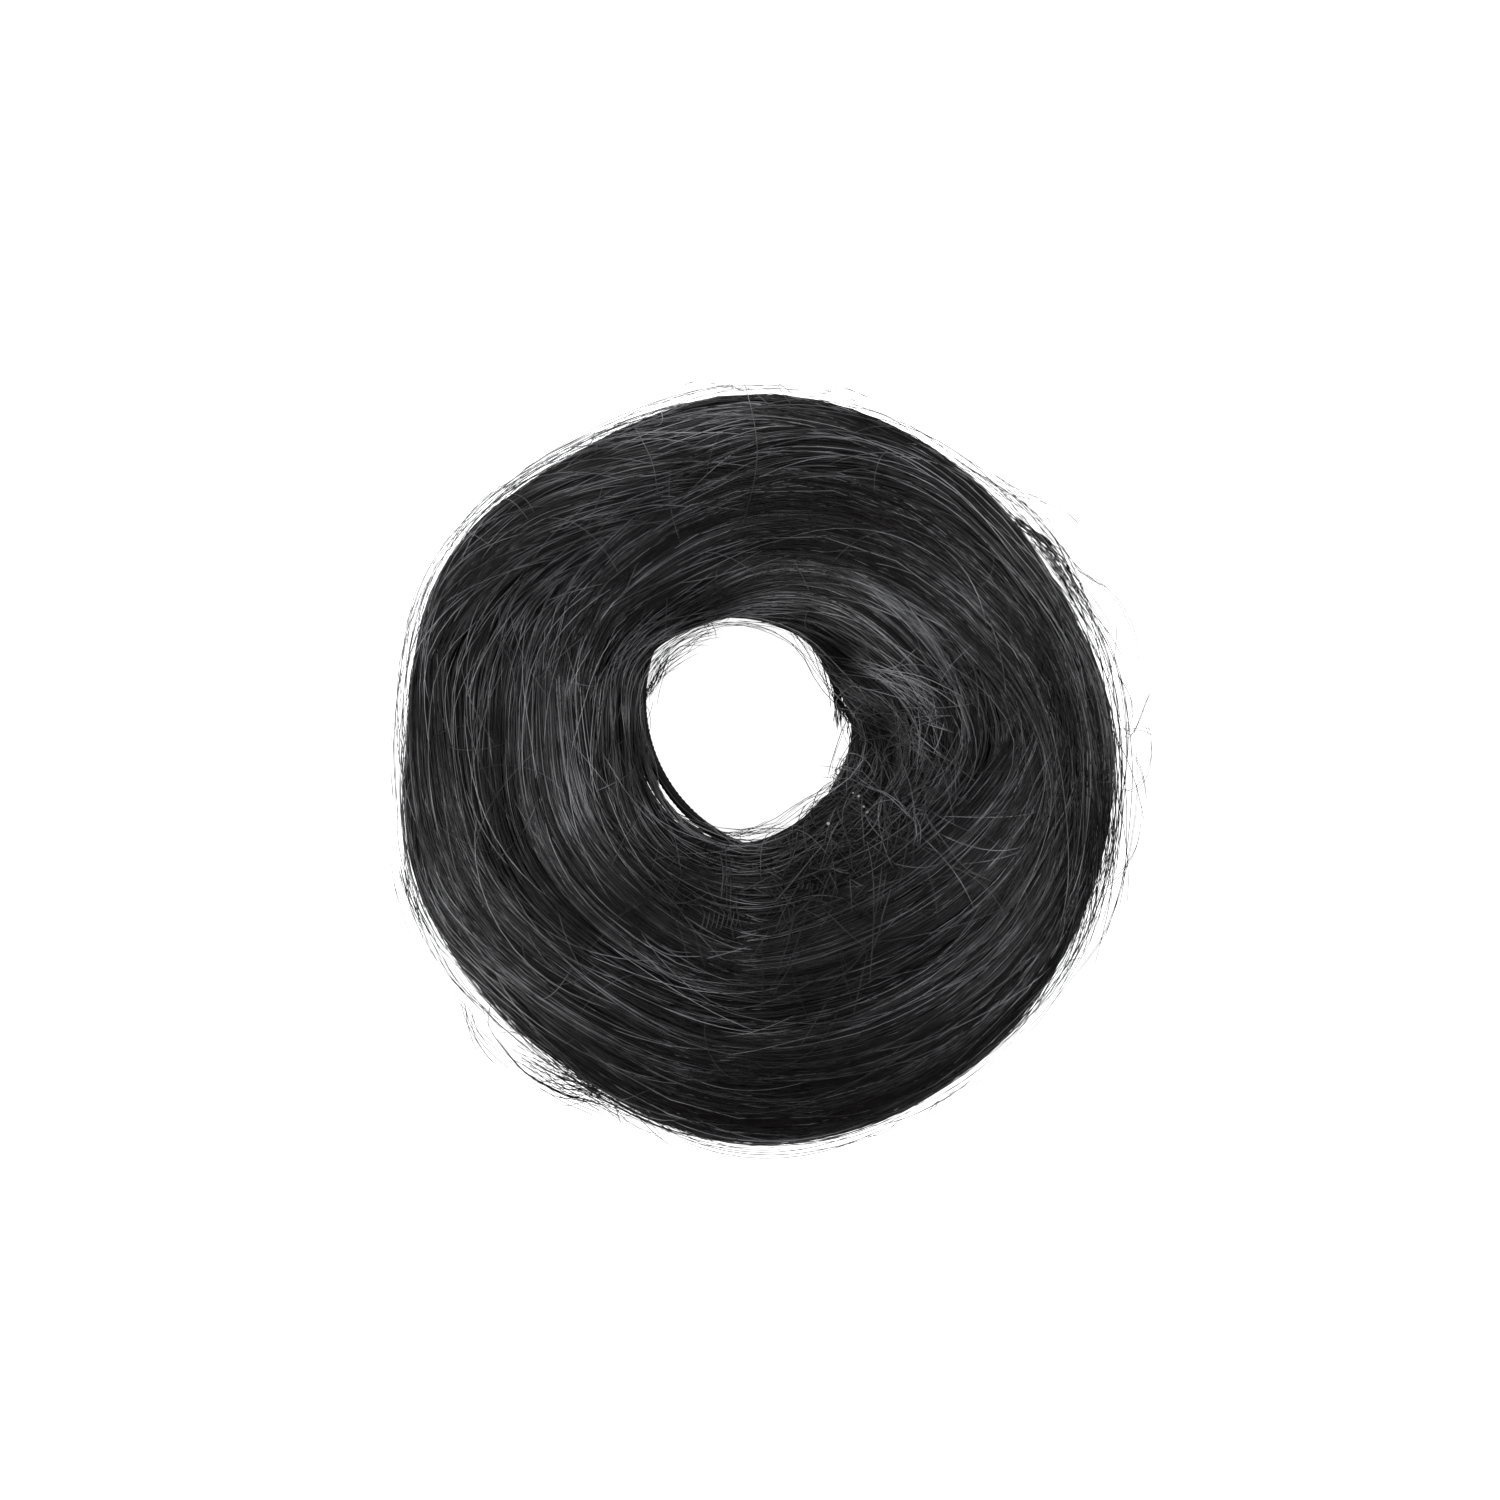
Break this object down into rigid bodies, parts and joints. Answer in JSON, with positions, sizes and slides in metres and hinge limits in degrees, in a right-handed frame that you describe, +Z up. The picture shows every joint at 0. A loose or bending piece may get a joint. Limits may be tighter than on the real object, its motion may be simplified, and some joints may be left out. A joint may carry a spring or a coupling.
{
  "type": "top knot hairpiece",
  "caption": "Ring of wound synthetic hair on a stretchy loop, with loose locks laid over it and a tuft of gathered ends; a bun or ponytail goes through its open middle.",
  "frame": {"origin": "middle of the outline, on the surface that the hairpiece lies on", "axes": "+Z up through the hole, +Y along the longer side of the outline, towards the side that the hole lies nearer to, +X to the right of that, seen from above"},
  "size_m": [0.1053, 0.1115, 0.0348],
  "materials": {
    "hair": "near-black synthetic hair with a soft sheen along the strands",
    "elastic": "matt black covered elastic"
  },
  "bodies": {
    "root": {"hair_ring": "hair", "elastic_loop": "elastic", "crown_lock": "hair", "lower_right_lock": "hair", "inner_left_lock": "hair", "inner_right_lock": "hair", "upper_left_lock": "hair", "outer_left_lock": "hair", "lower_lock": "hair", "outer_top_lock": "hair", "outer_right_lock": "hair", "end_tuft": "hair"}
  },
  "joints": []
}
